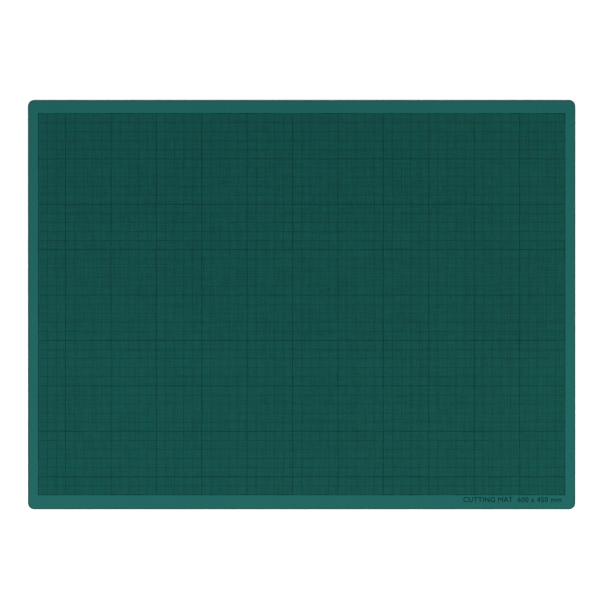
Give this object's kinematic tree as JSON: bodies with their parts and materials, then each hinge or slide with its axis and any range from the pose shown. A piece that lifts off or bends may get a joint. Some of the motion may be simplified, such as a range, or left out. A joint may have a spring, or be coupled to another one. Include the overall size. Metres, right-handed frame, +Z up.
{
  "type": "self healing cutting mat",
  "caption": "Thin flat rectangular self-healing cutting mat with rounded corners, fused from plastic plies, with a measuring grid printed inside a plain border on its upper face.",
  "frame": {"origin": "middle of the mat's underside", "axes": "+X along the long side, to the right as the size mark is read; +Y along the short side, from the front edge with the size mark to the back edge; +Z up, out of the printed face"},
  "size_m": [0.603, 0.451, 0.0031],
  "materials": {
    "face_pvc": "matte",
    "cushion_pvc": "matte",
    "core_pvc": "matte",
    "fine_ink": "matte",
    "heavy_ink": "matte"
  },
  "bodies": {
    "root": {"bottom_sheet": "face_pvc", "lower_cushion_sheet": "cushion_pvc", "core_sheet": "core_pvc", "upper_cushion_sheet": "cushion_pvc", "top_sheet": "face_pvc", "fine_lines": "fine_ink", "heavy_lines": "heavy_ink", "panel_frame_line": "heavy_ink", "size_mark": "heavy_ink"}
  },
  "joints": []
}
